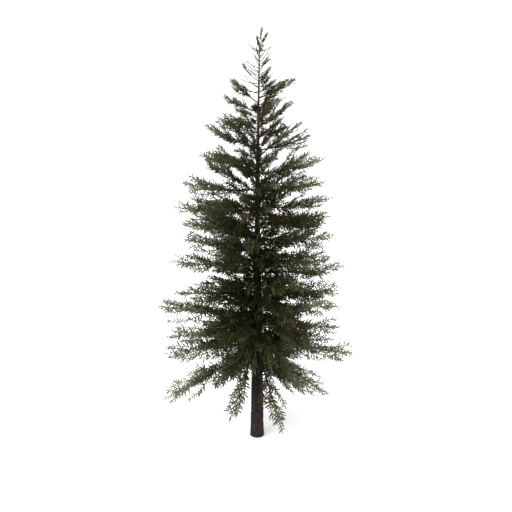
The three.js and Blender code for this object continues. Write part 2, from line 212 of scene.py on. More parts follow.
# Fine twiglets that fringe the outer part of the branches and fronds
FRINGE_FIRST = 0.35
FRINGE_LAST = 0.78
FRINGE_SPACING = (0.55, 0.45, 0.32)
FRINGE_COUNT_SWAY = 0.4
FRINGE_STEP_SWAY = 0.4
FRINGE_LENGTH = (0.2, 0.19, 0.13)
FRINGE_LENGTH_SWAY = 0.35
FRINGE_ANGLE = 27
FRINGE_ANGLE_SWAY = 12
FRINGE_TURN = 40
FRINGE_SWEEP = 0.25
FRINGE_SCALE = 0.6

# Sprigs of needles in two rows along every twig: folded blades, widest before their middle, where on each
# kind of twig they start, and how near to the ground they may come
RIB = [(0.0, 0.0), (0.5, 0.0), (1.0, 0.0)]
LOBES = [(0.24, 0.44), (0.62, 0.4)]
HALF = [(0, 3, 1), (3, 4, 1), (4, 2, 1)]
SPRIG_FACES = 2 * len(HALF)
FOLD = 0.35
CURL = 0.12
FEWEST_SPRIGS = 2
SPRIG_SPACING = (0.066, 0.056, 0.037)
SPRIG_FIRST = 0.4
SPRIG_STEP_SWAY = 0.18
SPRIG_SIZE_AT_ROOT = 1.06
SPRIG_SHRINKING = 0.16
SPRIG_SIZE_AT_TIP = 0.9
SPRIG_LENGTH = (0.124, 0.11, 0.092)
SPRIG_LENGTH_SWAY = 0.34
SPRIG_WIDTH_SHARE = (0.265, 0.23, 0.175)
SPRIG_WIDTH_SWAY = 0.15
SPRIG_SINK = 0.06
SPRIG_ANGLE = (54, 50, 42)
SPRIG_ANGLE_AT_ROOT = 1.05
SPRIG_CLOSING = 0.2
SPRIG_ANGLE_SWAY = 16
SPRIG_TURN = 16
SPRIG_ROLL = 40
LEAFY_FROM = (0.12, 0.15, 0.32)
LEAFY_BRANCH_FROM = 0.12
LEAFY_FROND_FROM = 0.08
LEAFY_TWIG_FROM = 0.08
LEAFY_FRINGE_FROM = 0.1
GROUND_CLEARANCE = 0.05

# Needle tints, painted shade in the heart of the crown that gives way to painted light at the tips, partly
# the
# real lighter young growth: how much lighter they get from the root of a twig to its tip and how late, how
# light the tips of front and of hanging boughs get under their painted shade, and how far a whole spray and
# a single sprig stray from that
LIGHTENING = (0.5, 0.5, 0.65)
FROND_LIGHTENING = (0.75, 0.85, 0.95)
LATENESS = (0.7, 1.0, 1.8)
# Painted shade on the tips of front and back boughs and of hanging ones, which stay darker than the rest
SHADED_FRONT_LIGHT = 0.34
SHADED_HANGING_LIGHT = 0.65
SPRAY_TINT_SWAY = 0.24
SPRIG_TINT_SWAY = 0.09

# The thin top: bare twigs round the last of the trunk, some of them leafy towards their tips
TOP_FIRST = 7.72
TOP_LAST = 8.66
TOP_TWIGS = 38
TOP_STEP_SWAY = 0.7
TOP_FAN = 45
TOP_FAN_SWAY = 40
TOP_CLIMB_LOW = 1
TOP_CLIMB_HIGH = 21
TOP_CLIMB_SWAY = 24
TOP_LENGTH_LOW = 0.36
TOP_LENGTH_HIGH = 0.16
TOP_LENGTH_SWAY = 0.5
TOP_BEND = 0.46
TOP_TWIG_RADIUS = 0.0095
TOP_TWIG_END_RADIUS = 0.0052
# How light the needles of the top's twigs are painted at root and tip, between painted shade and painted
# light
TOP_DARK = 0.4
TOP_LIGHT = 0.7
LEAFY_TOP = (3, 5, 7, 10, 13, 19, 21, 28)
LEAFY_TOP_FROM = 0.45
LEAFY_TOP_ROUNDS = 2
TOP_SPRIG_SCALE = 0.68

# Twiglets on the bare twigs
TOP_TWIGLETS = 3
TOP_TWIGLET_FIRST = 0.35
TOP_TWIGLET_STEP = 0.2
TOP_TWIGLET_STEP_SWAY = 0.06
TOP_TWIGLET_ANGLE = 45
TOP_TWIGLET_ANGLE_SWAY = 10
TOP_TWIGLET_TURN = 15
TOP_TWIGLET_ROLL = 30
TOP_TWIGLET_LENGTH_SHARE = 0.3
TOP_TWIGLET_SWEEP = 0.2
TOP_TWIGLET_END_RADIUS = 0.002

# Dense leafy shoots to the right of the thin top's foot
CLUSTER_SHOOTS = 6
CLUSTER_LOWEST = 7.5
CLUSTER_STEP = 0.075
CLUSTER_BACK_TURN = 18
CLUSTER_FRONT_TURN = -22
CLUSTER_CLIMB = 8
CLUSTER_CLIMB_STEP = 9
CLUSTER_LENGTH = 0.56
CLUSTER_SHORTENING = 0.045
CLUSTER_BEND = 0.1
CLUSTER_RADIUS = 0.007
CLUSTER_END_RADIUS = 0.003
# How light the cluster's needles are painted at root and tip, between painted shade and painted light
CLUSTER_DARK = 0.2
CLUSTER_LIGHT = 0.8
LEAFY_CLUSTER_FROM = 0.2
LEAFY_CLUSTER_BRANCH_FROM = 0.1

# The leader and the leafy shoots beside it: where these leave the trunk, and how far they go right and up
LEADER_AIM = (0.16, 0.02, 1.0)
LEADER_SINK = 0.01
LEADER_FACE = (0.0, -1.0, 0.16)
LEADER_END_RADIUS = 0.002
# How light the leader's needles are painted at root and tip, between painted shade and painted light
LEADER_DARK = 0.5
LEADER_LIGHT = 0.9
TIP_SHOOTS = [(8.62, -0.05, 0.20), (8.66, 0.15, 0.24), (8.50, 0.07, 0.16)]
TIP_FORWARD = -0.02
TIP_FACE = (0.0, -1.0, 0.1)
TIP_END_RADIUS = 0.003
# How light the tip shoots' needles are painted at root and tip, between painted shade and painted light
TIP_DARK = 0.2
TIP_LIGHT = 0.6
LEAFY_TIP_FROM = 0.25
LEAFY_TIP_ROUNDS = 3
TIP_OPENING = 0.75

# Rings and sides of the tubes, and the most faces that a piece with needles of several tiers may have
BOUGH_TUBE = (20, 7)
BRANCH_TUBE = (5, 4)
GREEN_TUBE = (5, 3)
TWIG_TUBE = (3, 3)
TWIGLET_TUBE = (2, 3)
TOP_TUBE = (5, 4)
TOP_TWIGLET_TUBE = (3, 4)
PIECE_FACES = 190000

# Bark colours from the furrows to the ridges: at the ground, under the crown, a much darker set that is
# painted shade for the crown's shadow on the trunk, and high up, with the heights between which one set
# gives way to the next
BARK_CHANGES = [(0.3, 1.4), (6.7, 7.2)]
BARK_COLOURS = [
    [(0.0062, 0.0052, 0.0054), (0.0190, 0.0145, 0.0150), (0.068, 0.044, 0.040)],
    # Under the crown: painted shade, the crown's shadow on the trunk
    [(0.0030, 0.0028, 0.0026), (0.0080, 0.0068, 0.0062), (0.022, 0.017, 0.014)],
    [(0.024, 0.015, 0.011), (0.052, 0.034, 0.025), (0.090, 0.060, 0.044)],
]
TWIG_BROWN = [(0.010, 0.008, 0.006), (0.022, 0.017, 0.013), (0.044, 0.031, 0.023)]
TWIG_GREY = [(0.022, 0.017, 0.014), (0.040, 0.031, 0.026), (0.070, 0.054, 0.045)]
TWIG_COLOURS = [TWIG_BROWN, TWIG_BROWN, TWIG_GREY]
BARK_STOPS = (0.36, 0.5, 0.62)
BARK_GRAIN = 46
BARK_BUMP = 0.8
TWIG_GRAIN = 60
TWIG_BUMP = 0.4
GRAIN_STRETCH = 0.5
GRAIN_DETAIL = 8
GRAIN_ROUGHNESS = 0.7
BUMP_DISTANCE = 0.004
BARK_ROUGHNESS = 0.92
BARK_SPECULAR = 0.1

# The Mix node's colour sockets, which share their names with others and so go by number
MIX_LOWER = 6
MIX_UPPER = 7
MIX_RESULT = 2

# Needle colours, from the painted shade in the heart of the crown to the painted light at its tips, partly
# the real lighter young growth
DARKEST_TINT = (0.0145, 0.0148, 0.0052)
LIGHTEST_TINT = (0.165, 0.168, 0.113)
TINT_COUNT = 10
NEEDLE_ROUGHNESS = 0.9
NEEDLE_SPECULAR = 0.0

# Floor, light and the photo's view
FLOOR = 40.0
FLOOR_COLOUR = (0.93, 0.93, 0.93)
FLOOR_ROUGHNESS = 0.9
FLOOR_SPECULAR = 0.3
SKY_STRENGTH = 1.48
SUN_STRENGTH = 1.75
SUN_WIDTH = 30
SUN_TILT = 38
SUN_TURN = -45
CAMERA_PLACE = (-0.026, -14.76, 8.523)
CAMERA_DOWN = 15.94
LENS_MM = 50
SENSOR_MM = 36

# The source's rule for repeatable numbers
KEY_START = 7
KEY_STEP = 31
WAVE_RATE = 12.9898
WAVE_SIZE = 43758.5453

UP = np.array((0.0, 0.0, 1.0))
SEED = 23
rng = np.random.default_rng(SEED)


# Numbers and directions

def chance(*labels):
    """The source's repeatable number from 0 to 1 for a list of whole-number labels."""
    key = KEY_START
    for label in labels:
        key = key * KEY_STEP + label
    wave = math.sin(key * WAVE_RATE) * WAVE_SIZE
    return wave - math.floor(wave)


def sway(count, amount):
    """Random numbers from -amount to amount."""
    return amount * (2 * rng.random(count) - 1)


def varied(count, amount):
    """Random factors round 1."""
    return 1 + sway(count, amount)


def blend(start, end, share):
    """The value at a share of the way from start to end."""
    return start + (end - start) * share


def by_tier(tier, values):
    """The value for a tier, between those for the lowest, the middle and the highest one."""
    return np.interp(tier, (1, (1 + HIGHEST_TIER) / 2, HIGHEST_TIER), values)


def alternating(k):
    """1 for even numbers and -1 for odd ones."""
    return np.where(k % 2 == 0, 1.0, -1.0)


def unit(vectors):
    return vectors / np.linalg.norm(vectors, axis=-1, keepdims=True)


def heading(azimuth, climb):
    """The direction at an azimuth and a climb above the level, in degrees."""
    azimuth, climb = np.radians(azimuth), np.radians(climb)
    return np.stack([np.cos(azimuth) * np.cos(climb), np.sin(azimuth) * np.cos(climb), np.sin(climb)], -1)


def upper_face(lead):
    """The direction square to each lead that points up the most."""
    return unit(np.cross(np.cross(lead, UP), lead))


def turned(face, axis, angle):
    """A direction square to the axis, turned about it in degrees from the one nearest to face."""
    near = unit(face - (face * axis).sum(-1, keepdims=True) * axis)
    angle = np.radians(angle)[:, None]
    return np.cos(angle) * near + np.sin(angle) * np.cross(axis, near)


def trunk_radius(z):
    taper = blend(TOP_RADIUS, GROUND_RADIUS, (1 - z / TRUNK_TOP) ** TAPER_POWER)
    return taper + FLARE * np.exp(-z / FLARE_HEIGHT)


def trunk_middle(z):
    z = np.asarray(z, float)
    return np.stack([LEAN * (z / TRUNK_TOP) ** LEAN_POWER, np.zeros_like(z), z], -1)


# Twigs

class Twigs:
    """Twigs that follow root + t * lead + t * t * bend from their root at t = 0 to their tip at t = 1.

    Each has a face square to its flat spray, its tier, how light its needles are painted at root and tip
    (dark and
    light: painted shade inside the crown, painted light towards the tips, partly the real lighter young
    growth), its radii there (thick and thin), and how far its branches spread.
    """

    VECTORS = ("root", "lead", "bend", "face")
    NUMBERS = ("tier", "dark", "light", "thick", "thin", "spread")

    def __init__(self, **fields):
        count = len(fields["root"])
        for name in self.VECTORS:
            setattr(self, name, np.broadcast_to(fields[name], (count, 3)))
        for name in self.NUMBERS:
            setattr(self, name, np.broadcast_to(fields[name], count))
        self.length = np.linalg.norm(self.lead + self.bend, axis=1)

    def __len__(self):
        return len(self.root)

    def fields(self):
        return {name: getattr(self, name) for name in self.VECTORS + self.NUMBERS}

    def point(self, i, t):
        t = t[:, None]
        return self.root[i] + t * self.lead[i] + t * t * self.bend[i]

    def frame(self, i, t):
        along = unit(self.lead[i] + 2 * t[:, None] * self.bend[i])
        across = unit(np.cross(along, self.face[i]))
        return along, across, np.cross(across, along)

    def radius(self, i, t):
        return blend(self.thick[i], self.thin[i], t)

    def shade(self, i, t):
        return blend(self.dark[i], self.light[i], t ** by_tier(self.tier[i], LATENESS))

    def but(self, **changes):
        return Twigs(**{**self.fields(), **changes})

    def pick(self, chosen):
        return Twigs(**{name: values[chosen] for name, values in self.fields().items()})

    def with_more(self, more):
        mine, others = self.fields(), more.fields()
        return Twigs(**{name: np.concatenate([mine[name], others[name]]) for name in mine})


def stations(counts):
    """For so many stations on each of several twigs: the twig and the number of each station on it."""
    i = np.repeat(np.arange(len(counts)), counts)
    return i, np.arange(len(i)) - np.repeat(np.cumsum(counts) - counts, counts)


def each_at(twigs, t):
    """One station on each twig, at the same t."""
    return np.arange(len(twigs)), np.full(len(twigs), t)


def aim(parent, i, t, side, angle, turn):
    """The direction of a shoot that leaves its parent to one side, turned about it.

    The parent's own direction and the one above it come along.
    """
    along, across, above = parent.frame(i, t)
    angle, turn = np.radians(angle)[:, None], np.radians(turn)[:, None]
    out = side[:, None] * np.cos(turn) * across + np.sin(turn) * above
    return np.cos(angle) * along + np.sin(angle) * out, along, above


def branch(parent, i, t, side, angle, turn, roll, length, sweep, thin, lightening=LIGHTENING):
    """Twigs that leave their parents at t, sweep round towards them and bend up."""
    lead, along, above = aim(parent, i, t, side, angle, turn)
    tier, size = parent.tier[i], length[:, None]
    dark = parent.shade(i, t)
    slender = CHILD_RADIUS + CHILD_RADIUS_SHARE * length
    return Twigs(
        root=parent.point(i, t),
        lead=lead * size,
        bend=(sweep * (along - lead) + by_tier(tier, LIFT)[:, None] * UP) * size,
        face=turned(above, lead, roll),
        tier=tier,
        dark=dark,
        light=dark + by_tier(tier, lightening) * (parent.light[i] - dark),
        thick=np.minimum(CHILD_RADIUS_MOST * parent.radius(i, t), slender),
        thin=thin,
        spread=parent.spread[i],
    )


# Boughs

def stem_radius(reach):
    return STEM_RADIUS + STEM_RADIUS_SHARE * reach


def stems(root, lead, bend, tier, dark, light, thick, spread):
    """Boughs that leave the trunk, each with its flat side up."""
    return Twigs(root=root, lead=lead, bend=bend, face=upper_face(lead), tier=tier, dark=dark, light=light,
                 thick=thick, thin=STEM_END_RADIUS, spread=spread)


def tier_middle(tier):
    """Height, reach and rise halfway between a tier's left bough and its right one."""
    return (np.array(tier["left"]) + np.array(tier["right"])) / 2


def lay_out_boughs():
    """The source's boughs, which sag a little on their way out, and their names."""
    rows, names = [], []
    low, high = TIERS[0]["left"][0], TIERS[-1]["left"][0]
    lift = np.array((FRONT_LIFT, 0, 0))
    for level, tier in enumerate(TIERS, 1):
        middle = tier_middle(tier)
        sizes = {"front": middle + lift, "back": middle - lift, **tier}
        for number, (side, azimuth, most) in enumerate(SIDES):
            if level > FULL_TIERS and side == ("back" if level % 2 else "front"):
                continue
            # A bough without a spread of its own spreads fully
            height, reach, rise, spread = (*sizes[side], 1.0)[:4]
            turn = blend(TURN_LEAST, most, chance(level, TURN_SEED + number))
            way = 1 if ((level + number) // 2) % 2 else -1
            angle = math.radians(azimuth + way * turn)
            root = trunk_middle(height)
            tip = root + np.array((reach * math.cos(angle), reach * math.sin(angle), rise))
            sag = SAG_LOW + (SAG_HIGH - SAG_LOW) * (height - low) / (high - low)
            control = (root + tip) / 2 - 2 * sag * reach * UP
            thick = LIMB_RADIUS if level <= LIMB_TIERS else stem_radius(reach)
            rows.append((root, 2 * (control - root), root - 2 * control + tip, level, thick, spread))
            names.append(f"{level}_{side}")
    root, lead, bend, tier, thick, spread = (np.array(column) for column in zip(*rows))
    end = 1 - TIP_ROOM / np.linalg.norm(lead + bend, axis=1)[:, None]
    # Painted shade: the tips of front and back boughs and of hanging ones stay darker than those of the
    # others
    shaded_front_or_back = [name.endswith(("front", "back")) for name in names]
    light = np.where(spread < 1, SHADED_HANGING_LIGHT, np.where(shaded_front_or_back, SHADED_FRONT_LIGHT, 1.0))
    return stems(root, lead * end, bend * end**2, tier, 0.0, light, thick, spread), names


def lay_out_shoots():
    """The lesser boughs, each turned from the one below it by the golden angle."""
    k = np.arange(SHOOT_COUNT)
    share = ((k + 0.5) / SHOOT_COUNT) ** SHOOT_CROWDING
    height = blend(SHOOT_LOWEST, SHOOT_HIGHEST, share)
    middles = np.array([tier_middle(tier) for tier in TIERS])
    most = SHOOT_REACH_MOST + SHOOT_REACH_MIDDLE * np.sin(np.pi * share)
    part = blend(SHOOT_REACH_LEAST, most, rng.random(SHOOT_COUNT) ** SHOOT_REACH_POWER)
    reach = part * np.interp(height, middles[:, 0], middles[:, 1])
    rise = blend(SHOOT_RISE_LOW, SHOOT_RISE_HIGH, np.sqrt(share)) + sway(SHOOT_COUNT, SHOOT_RISE_SWAY)
    azimuth = (GOLDEN_TURN * k) % 360
    clear = (height < BARE_FRONT[0]) | (height > BARE_FRONT[1])
    in_front = clear & (np.abs(azimuth - FRONT_AZIMUTH) < BARE_FRONT_TURN)
    turn = np.radians(np.where(in_front, azimuth - 180, azimuth))
    lead = reach[:, None] * np.stack([np.cos(turn), np.sin(turn), rise], -1)
    bend = -SHOOT_SAG * reach[:, None] * UP
    tier = 1 + np.abs(height[:, None] - middles[None, :, 0]).argmin(1)
    dark = SHOOT_DARK * share
    light = np.interp(share, SHOOT_LIGHT_AT, SHOOT_LIGHT)
    spread = blend(SHOOT_SPREAD, SHOOT_SPREAD_HIGH, share)
    return stems(trunk_middle(height), lead, bend, tier, dark, light, stem_radius(reach), spread)


# What grows on the boughs

def branch_counts(span, boughs, spacing):
    """How many branches or pairs of them each bough has."""
    wanted = np.round(span * boughs.length / by_tier(boughs.tier, spacing))
    return np.maximum(FEWEST_BRANCHES, wanted).astype(int)


def grow_branches(boughs):
    """Branches in pairs, fullest at some way out and shorter towards the bough's tip."""
    first = by_tier(boughs.tier, BRANCH_FIRST)
    span = by_tier(boughs.tier, BRANCH_LAST) - first
    counts = branch_counts(span, boughs, BRANCH_SPACING)
    i, k = stations(2 * counts)
    side = alternating(k)
    step = (k // 2 + 0.5 + PAIR_STAGGER * side + sway(len(i), BRANCH_STEP_SWAY)) / counts[i]
    share = first[i] + span[i] * np.clip(step, 0, 1) ** BRANCH_CROWDING
    full = (BRANCH_LENGTH + BRANCH_LENGTH_SHARE * boughs.length[i]) * (1 - BRANCH_NARROWING * share)
    full = full * by_tier(boughs.tier[i], BRANCH_FULLNESS)
    full = full * blend(by_tier(boughs.tier[i], ROOT_FULLNESS), 1, np.minimum(1, share / FULLEST))
    room = BRANCH_TIP_ROOM + (1 - share) * boughs.length[i]
    length = boughs.spread[i] * np.minimum(full, BRANCH_POINTING * room) * varied(len(i), BRANCH_LENGTH_SWAY)
    angle = blend(BRANCH_ANGLE_ROOT, BRANCH_ANGLE_TIP, share) + sway(len(i), BRANCH_ANGLE_SWAY)
    turn, roll = sway(len(i), BRANCH_TURN), sway(len(i), BRANCH_ROLL)
    return branch(boughs, i, share, side, angle, turn, roll, length, BRANCH_SWEEP, BRANCH_END_RADIUS)


def grow_fronds(boughs):
    """Fronds round each bough, each turned from the last one by the golden angle."""
    span = FROND_LAST - FROND_FIRST
    counts = branch_counts(span, boughs, FROND_SPACING)
    i, k = stations(counts)
    share = FROND_FIRST + span * (k + 0.5 + sway(len(i), FROND_STEP_SWAY)) / counts[i]
    turn = GOLDEN_TURN * k + FROND_TURN_BY_BOUGH * i + sway(len(i), FROND_TURN_SWAY)
    full = (FROND_LENGTH + FROND_LENGTH_SHARE * boughs.length[i]) * by_tier(boughs.tier[i], FROND_FULLNESS)
    room = BRANCH_TIP_ROOM + (1 - share) * boughs.length[i]
    most = by_tier(boughs.tier[i], FROND_POINTING) * room
    length = np.minimum(full, most) * varied(len(i), FROND_LENGTH_SWAY)
    variety = varied(len(boughs), FROND_VARIETY)
    length = length * variety[i] * np.minimum(1, FROND_SPREAD_EXTRA + boughs.spread[i])
    opening = FROND_OPENING * (share - (FROND_FIRST + FROND_LAST) / 2)
    angle = by_tier(boughs.tier[i], FROND_ANGLE) + opening + sway(len(i), BRANCH_ANGLE_SWAY)
    ones = np.ones(len(i))
    return branch(boughs, i, share, ones, angle, turn, 0 * ones, length, FROND_SWEEP, FROND_WOOD_END_RADIUS,
                  FROND_LIGHTENING)


def grow_twigs(branches):
    """Twigs to the two sides of each branch by turns, fewer on the branches near a bough's light tip."""
    span = TWIG_LAST - TWIG_FIRST
    inside = np.clip(1 - branches.dark / TWIG_OUTERMOST, 0, 1) ** TWIG_THINNING
    counts = np.round(inside * span * branches.length / TWIG_SPACING).astype(int)
    i, k = stations(counts)
    share = TWIG_FIRST + span * (k + 0.5 + sway(len(i), TWIG_STEP_SWAY)) / counts[i]
    length = TWIG_LENGTH_SHARE * branches.length[i] * (TWIG_LENGTH_AT_ROOT - TWIG_SHORTENING * share)
    length = np.clip(length, TWIG_LENGTH_LEAST, TWIG_LENGTH_MOST) * varied(len(i), TWIG_LENGTH_SWAY)
    angle = TWIG_ANGLE + sway(len(i), TWIG_ANGLE_SWAY)
    turn, roll = sway(len(i), TWIG_TURN), sway(len(i), BRANCH_ROLL)
    return branch(branches, i, share, alternating(k), angle, turn, roll, length, TWIG_SWEEP, TWIG_END_RADIUS)


def grow_fringe(twigs):
    """A few twiglets to the two sides by turns, or none on a short twig."""
    span = FRINGE_LAST - FRINGE_FIRST
    wanted = span * twigs.length / by_tier(twigs.tier, FRINGE_SPACING)
    counts = np.round(wanted + sway(len(twigs), FRINGE_COUNT_SWAY)).astype(int)
    i, k = stations(counts)
    share = FRINGE_FIRST + span * (k + 0.5 + sway(len(i), FRINGE_STEP_SWAY)) / counts[i]
    length = by_tier(twigs.tier[i], FRINGE_LENGTH) * varied(len(i), FRINGE_LENGTH_SWAY)
    angle = FRINGE_ANGLE + sway(len(i), FRINGE_ANGLE_SWAY)
    turn, roll = sway(len(i), FRINGE_TURN), sway(len(i), BRANCH_ROLL)
    return branch(twigs, i, share, alternating(k + i), angle, turn, roll, length, FRINGE_SWEEP,
                  TWIG_END_RADIUS, FROND_LIGHTENING)


def upright(twigs):
    """The same twigs with their flat sprays set more or less on edge."""
    level = unit(np.cross(twigs.lead, UP))
    return twigs.but(face=turned(level, unit(twigs.lead), sway(len(twigs), UPRIGHT_SWAY)))


def green_ends(boughs):
    """The young outer part of each bough."""
    starts = each_at(boughs, GREEN_FROM)
    left = 1 - GREEN_FROM
    lead = left * (boughs.lead + 2 * GREEN_FROM * boughs.bend)
    return boughs.but(root=boughs.point(*starts), lead=lead, bend=left**2 * boughs.bend,
                      dark=boughs.shade(*starts))


# Sprigs

def sprig_template():
    """One sprig of length and width 1: its points, and the triangles of its two halves."""
    flat = RIB + LOBES + [(x, -y) for x, y in LOBES]
    points = np.array([(x, y, -CURL * x * x) for x, y in flat])
    other = {n: n + len(LOBES) if n >= len(RIB) else n for n in range(len(RIB) + len(LOBES))}
    faces = HALF + [(other[a], other[c], other[b]) for a, b, c in HALF]
    return points, np.array(faces)


def sprig_stations(twigs, start, scale):
    """Two rows of sprigs along each twig, and one more at its tip."""
    spacing = scale * by_tier(twigs.tier, SPRIG_SPACING)
    start = np.broadcast_to(start, len(twigs))
    counts = np.maximum(FEWEST_SPRIGS, np.round((1 - start) * twigs.length / spacing)).astype(int)
    i, k = stations(2 * counts)
    side = alternating(k)
    step = (k // 2 + SPRIG_FIRST + PAIR_STAGGER * side + sway(len(i), SPRIG_STEP_SWAY)) / counts[i]
    t = start[i] + (1 - start[i]) * step
    angle = by_tier(twigs.tier[i], SPRIG_ANGLE) * (SPRIG_ANGLE_AT_ROOT - SPRIG_CLOSING * t)
    angle = angle + sway(len(i), SPRIG_ANGLE_SWAY)
    size = scale * (SPRIG_SIZE_AT_ROOT - SPRIG_SHRINKING * t)
    ends = np.arange(len(twigs))
    ones = np.ones(len(ends))
    end_size = scale * SPRIG_SIZE_AT_TIP * ones
    rows_and_ends = ((i, ends), (t, ones), (side, ones), (angle, 0 * ones), (size, end_size))
    return [np.concatenate(pair) for pair in rows_and_ends]


def grow_sprigs(twigs, start, scale=1.0, opening=1.0):
    """Sprigs along each twig from start to its tip; all those of one twig share the sway of its tint."""
    i, t, side, angle, size = sprig_stations(twigs, start, scale)
    count = len(i)
    lead, _, above = aim(twigs, i, t, side, opening * angle, sway(count, SPRIG_TURN))
    face = turned(above, lead, sway(count, SPRIG_ROLL))
    tier = twigs.tier[i]
    length = by_tier(tier, SPRIG_LENGTH) * size * varied(count, SPRIG_LENGTH_SWAY)
    return {
        "root": twigs.point(i, t) - SPRIG_SINK * length[:, None] * lead,
        "lead": lead,
        "across": np.cross(face, lead),
        "face": face,
        "length": length,
        "width": by_tier(tier, SPRIG_WIDTH_SHARE) * length * varied(count, SPRIG_WIDTH_SWAY),
        "tier": tier,
        "shade": twigs.shade(i, t) + sway(len(twigs), SPRAY_TINT_SWAY)[i],
    }


def join(batches):
    return {key: np.concatenate([batch[key] for batch in batches]) for key in batches[0]}


def keep(sprigs, mask):
    return {key: value[mask] for key, value in sprigs.items()}


# Meshes

def sprig_mesh(sprigs):
    points, faces = sprig_template()
    length, width = sprigs["length"][:, None, None], sprigs["width"][:, None, None]
    x, y, z = (points[None, :, n, None] for n in range(3))
    places = sprigs["root"][:, None] + x * length * sprigs["lead"][:, None]
    places = places + y * width * sprigs["across"][:, None]
    places = places + (z * length - FOLD * np.abs(y) * width) * sprigs["face"][:, None]
    shift = (np.arange(len(length)) * len(points))[:, None, None]
    return places.reshape(-1, 3), (faces[None] + shift).reshape(-1, 3)


def tube_faces(count, rings, sides):
    ring = np.arange(sides)
    after = (ring + 1) % sides
    strip = np.stack([ring, after, after + sides, ring + sides], -1)
    starts = (np.arange(count)[:, None] * rings + np.arange(rings - 1)).reshape(-1) * sides
    return (strip[None] + starts[:, None, None]).reshape(-1, 4)


def tube_mesh(twigs, rings, sides, rough=0.0, end=1.0):
    count = len(twigs)
    i = np.repeat(np.arange(count), rings)
    t = np.tile(np.linspace(0, end, rings), count)
    _, across, above = twigs.frame(i, t)
    radius = twigs.radius(i, t)[:, None] * varied((len(i), sides), rough)
    turn = 2 * np.pi * np.arange(sides) / sides
    out = np.cos(turn)[None, :, None] * across[:, None] + np.sin(turn)[None, :, None] * above[:, None]
    places = twigs.point(i, t)[:, None] + radius[:, :, None] * out
    return places.reshape(-1, 3), tube_faces(count, rings, sides)


def noise(turn, height, across_cells, up_cells, seed):
    """Smooth seeded noise from 0 to 1 over the trunk, without a seam round it."""
    lattice = np.random.default_rng(seed).random((up_cells + 2, across_cells))
    u, v = turn / (2 * np.pi) * across_cells, height * up_cells
    i, j = np.floor(u).astype(int), np.floor(v).astype(int)
    a, b = u - i, v - j
    a, b = a * a * (3 - 2 * a), b * b * (3 - 2 * b)
    i, after = i % across_cells, (i + 1) % across_cells
    low = lattice[j, i] * (1 - a) + lattice[j, after] * a
    high = lattice[j + 1, i] * (1 - a) + lattice[j + 1, after] * a
    return low * (1 - b) + high * b


def trunk_mesh():
    share = np.linspace(0, 1, TRUNK_RINGS) ** RING_CROWDING
    turn = 2 * np.pi * np.arange(TRUNK_SIDES) / TRUNK_SIDES
    share, turn = (grid.ravel() for grid in np.meshgrid(share, turn, indexing="ij"))
    z = share * TRUNK_TOP
    drifted = turn + DRIFT * noise(turn, share, *DRIFT_NOISE)
    furrows = 1 - np.abs(2 * noise(drifted, share, *FURROW_NOISE) - 1)
    scales = noise(drifted, share, *SCALE_NOISE)
    relief = RIDGE_SHARE - FURROW_DEPTH * (1 - furrows) ** 2 + SCALE_DEPTH * (scales - 0.5)
    layer = BARK_THICKNESS * np.interp(z, BARK_HEIGHTS, BARK_SHARES)
    radius = trunk_radius(z) * np.where(z > 0, relief, 1) + layer
    places = trunk_middle(z)
    places[:, 0] += radius * np.cos(turn)
    places[:, 1] += radius * np.sin(turn)
    return places, tube_faces(1, TRUNK_RINGS, TRUNK_SIDES)


def add_piece(name, places, faces, materials, slot, dealt=None, smooth=False):
    """A piece of the tree from arrays, with a material dealt out to each face where there are several."""
    mesh = bpy.data.meshes.new(name)
    mesh.vertices.add(len(places))
    mesh.vertices.foreach_set("co", np.ascontiguousarray(places, np.float32).ravel())
    mesh.loops.add(faces.size)
    mesh.loops.foreach_set("vertex_index", np.ascontiguousarray(faces, np.int32).ravel())
    mesh.polygons.add(len(faces))
    starts = np.arange(0, faces.size, faces.shape[1], dtype=np.int32)
    mesh.polygons.foreach_set("loop_start", starts)
    mesh.polygons.foreach_set("use_smooth", np.full(len(faces), smooth))
    for material in materials:
        mesh.materials.append(material)
    if dealt is not None:
        mesh.polygons.foreach_set("material_index", np.ascontiguousarray(dealt, np.int32))
    mesh.update(calc_edges=True)
    piece = bpy.data.objects.new(name, mesh)
    bpy.context.scene.collection.objects.link(piece)
    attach(piece, "root")
    return piece


# Materials

def new_material(name, base, roughness, specular):
    material = bpy.data.materials.new(name)
    material.use_nodes = True
    shader = material.node_tree.nodes["Principled BSDF"]
    shader.inputs["Base Color"].default_value = (*base, 1)
    shader.inputs["Roughness"].default_value = roughness
    shader.inputs["Specular IOR Level"].default_value = specular
    return material, material.node_tree, shader


def bark_ramp(tree, grain, colours):
    """The bark's colours by its grain, from the furrows to the ridges."""
    ramp = tree.nodes.new("ShaderNodeValToRGB")
    stops = ramp.color_ramp.elements
    stops[0].position = BARK_STOPS[0]
    stops[1].position = BARK_STOPS[2]
    stops.new(BARK_STOPS[1])
    for stop, colour in zip(stops, colours):
        stop.color = (*colour, 1)
    tree.links.new(grain.outputs["Fac"], ramp.inputs["Fac"])
    return ramp.outputs["Color"]


def bark_grain(tree, place, scale):
    """Noise that is stretched along the trunk."""
    stretch = tree.nodes.new("ShaderNodeMapping")
    stretch.inputs["Scale"].default_value = (scale, scale, GRAIN_STRETCH * scale)
    tree.links.new(place.outputs["Object"], stretch.inputs["Vector"])
    grain = tree.nodes.new("ShaderNodeTexNoise")
    grain.inputs["Scale"].default_value = 1.0
    grain.inputs["Detail"].default_value = GRAIN_DETAIL
    grain.inputs["Roughness"].default_value = GRAIN_ROUGHNESS
    tree.links.new(stretch.outputs["Vector"], grain.inputs["Vector"])
    return grain


def colour_mix(tree, factor, lower, upper):
    mix = tree.nodes.new("ShaderNodeMix")
    mix.data_type = "RGBA"
    tree.links.new(factor, mix.inputs["Factor"])
    tree.links.new(lower, mix.inputs[MIX_LOWER])
    tree.links.new(upper, mix.inputs[MIX_UPPER])
    return mix.outputs[MIX_RESULT]


